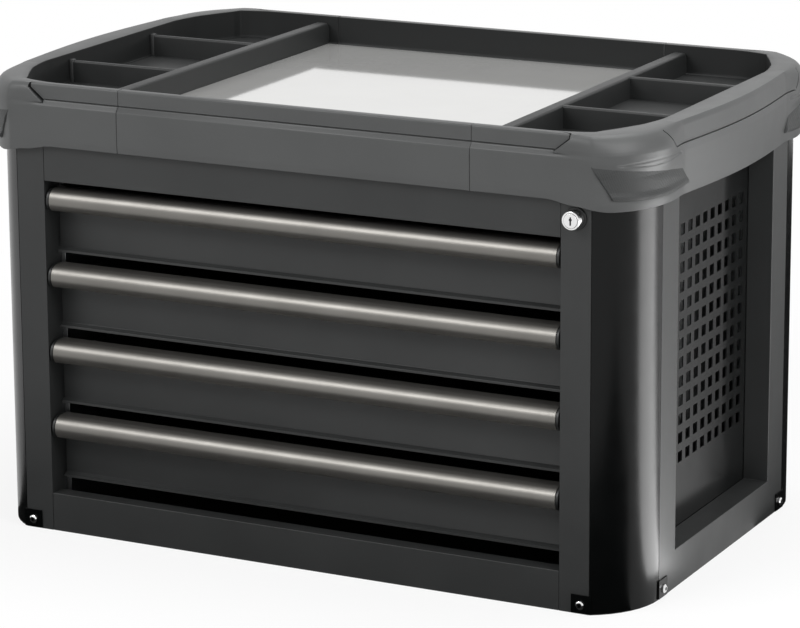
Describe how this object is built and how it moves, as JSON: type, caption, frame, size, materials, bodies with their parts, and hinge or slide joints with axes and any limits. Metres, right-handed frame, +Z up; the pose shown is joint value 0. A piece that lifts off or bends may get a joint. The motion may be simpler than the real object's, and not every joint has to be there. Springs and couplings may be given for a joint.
{
  "type": "drawer tool chest",
  "caption": "Bench-top tool chest: steel cabinet with full-width drawers, rounded corner covers, perforated side panels and a moulded tray rim with pockets round a metal worktop.",
  "frame": {"origin": "middle of the cabinet's footprint, on the floor that it stands on", "axes": "+Z up, front with the drawers towards -Y, +X to the right seen from the front"},
  "size_m": [0.7768, 0.5067, 0.483],
  "materials": {
    "powder_coat": "dark grey powder coat, fine satin",
    "gloss_cover": "black, high gloss",
    "perforated_coat": "dark grey powder coat",
    "moulded_grey": "moulded grey plastic, fine grain",
    "soft_pad": "soft grey pad with a fine texture",
    "grip_rail": "drawn and anodised grey",
    "cap_plastic": "black, satin",
    "worktop_steel": "light satin sheet",
    "zinc_steel": "bright zinc",
    "chrome": "bright chrome"
  },
  "bodies": {
    "cabinet": {"bottom_panel": "powder_coat", "rear_panel": "powder_coat", "top_rail": "powder_coat", "bottom_rail": "powder_coat", "left_post": "powder_coat", "right_post": "powder_coat", "left_side_frame": "powder_coat", "right_side_frame": "powder_coat", "front_left_corner_cover": "gloss_cover", "front_right_corner_cover": "gloss_cover", "rear_left_corner_cover": "gloss_cover", "rear_right_corner_cover": "gloss_cover", "left_perforated_panel": "perforated_coat", "right_perforated_panel": "perforated_coat", "left_end_tray": "moulded_grey", "right_end_tray": "moulded_grey", "front_fascia": "moulded_grey", "rear_fascia": "moulded_grey", "front_left_bumper": "soft_pad", "front_right_bumper": "soft_pad", "rear_left_bumper": "soft_pad", "rear_right_bumper": "soft_pad", "worktop_plate": "worktop_steel", "left_runner_rack": "zinc_steel", "right_runner_rack": "zinc_steel", "lock_housing": "chrome", "front_left_front_screw": "chrome", "front_right_front_screw": "chrome", "rear_left_rear_screw": "chrome", "rear_right_rear_screw": "chrome", "front_left_side_screw": "chrome", "front_right_side_screw": "chrome", "rear_left_side_screw": "chrome", "rear_right_side_screw": "chrome"},
    "drawer_1_box": {"drawer_1": "powder_coat", "drawer_1_handle": "grip_rail", "drawer_1_left_cap": "cap_plastic", "drawer_1_right_cap": "cap_plastic"},
    "drawer_1_middle_slides": {"drawer_1_left_slide": "zinc_steel", "drawer_1_right_slide": "zinc_steel"},
    "drawer_2_box": {"drawer_2": "powder_coat", "drawer_2_handle": "grip_rail", "drawer_2_left_cap": "cap_plastic", "drawer_2_right_cap": "cap_plastic"},
    "drawer_2_middle_slides": {"drawer_2_left_slide": "zinc_steel", "drawer_2_right_slide": "zinc_steel"},
    "drawer_3_box": {"drawer_3": "powder_coat", "drawer_3_handle": "grip_rail", "drawer_3_left_cap": "cap_plastic", "drawer_3_right_cap": "cap_plastic"},
    "drawer_3_middle_slides": {"drawer_3_left_slide": "zinc_steel", "drawer_3_right_slide": "zinc_steel"},
    "drawer_4_box": {"drawer_4": "powder_coat", "drawer_4_handle": "grip_rail", "drawer_4_left_cap": "cap_plastic", "drawer_4_right_cap": "cap_plastic"},
    "drawer_4_middle_slides": {"drawer_4_left_slide": "zinc_steel", "drawer_4_right_slide": "zinc_steel"},
    "lock_plug": {"lock_core": "chrome"},
    "lock_bar": {"locking_bar": "zinc_steel"}
  },
  "joints": [
    {"name": "drawer_1_travel", "type": "slide", "parent": "cabinet", "child": "drawer_1_box", "axis": [0, -1, 0], "range_m": [0, 0.4]},
    {"name": "drawer_1_slide_travel", "type": "slide", "parent": "cabinet", "child": "drawer_1_middle_slides", "axis": [0, -1, 0], "range_m": [0, 0.2]},
    {"name": "drawer_2_travel", "type": "slide", "parent": "cabinet", "child": "drawer_2_box", "axis": [0, -1, 0], "range_m": [0, 0.4]},
    {"name": "drawer_2_slide_travel", "type": "slide", "parent": "cabinet", "child": "drawer_2_middle_slides", "axis": [0, -1, 0], "range_m": [0, 0.2]},
    {"name": "drawer_3_travel", "type": "slide", "parent": "cabinet", "child": "drawer_3_box", "axis": [0, -1, 0], "range_m": [0, 0.4]},
    {"name": "drawer_3_slide_travel", "type": "slide", "parent": "cabinet", "child": "drawer_3_middle_slides", "axis": [0, -1, 0], "range_m": [0, 0.2]},
    {"name": "drawer_4_travel", "type": "slide", "parent": "cabinet", "child": "drawer_4_box", "axis": [0, -1, 0], "range_m": [0, 0.4]},
    {"name": "drawer_4_slide_travel", "type": "slide", "parent": "cabinet", "child": "drawer_4_middle_slides", "axis": [0, -1, 0], "range_m": [0, 0.2]},
    {"name": "lock_turn", "type": "hinge", "parent": "cabinet", "child": "lock_plug", "pos_m": [0.31, -0.242, 0.4], "axis": [0, -1, 0], "range_deg": [0, 90]},
    {"name": "lock_bar_lift", "type": "slide", "parent": "cabinet", "child": "lock_bar", "axis": [0, 0, 1], "range_m": [0, 0.00707]}
  ],
  "couplings": [
    {"joint": "drawer_1_slide_travel", "follows": "drawer_1_travel", "ratio": 0.5},
    {"joint": "drawer_2_slide_travel", "follows": "drawer_2_travel", "ratio": 0.5},
    {"joint": "drawer_3_slide_travel", "follows": "drawer_3_travel", "ratio": 0.5},
    {"joint": "drawer_4_slide_travel", "follows": "drawer_4_travel", "ratio": 0.5},
    {"joint": "lock_turn", "follows": "lock_bar_lift", "rad_per_m": 222.14}
  ]
}
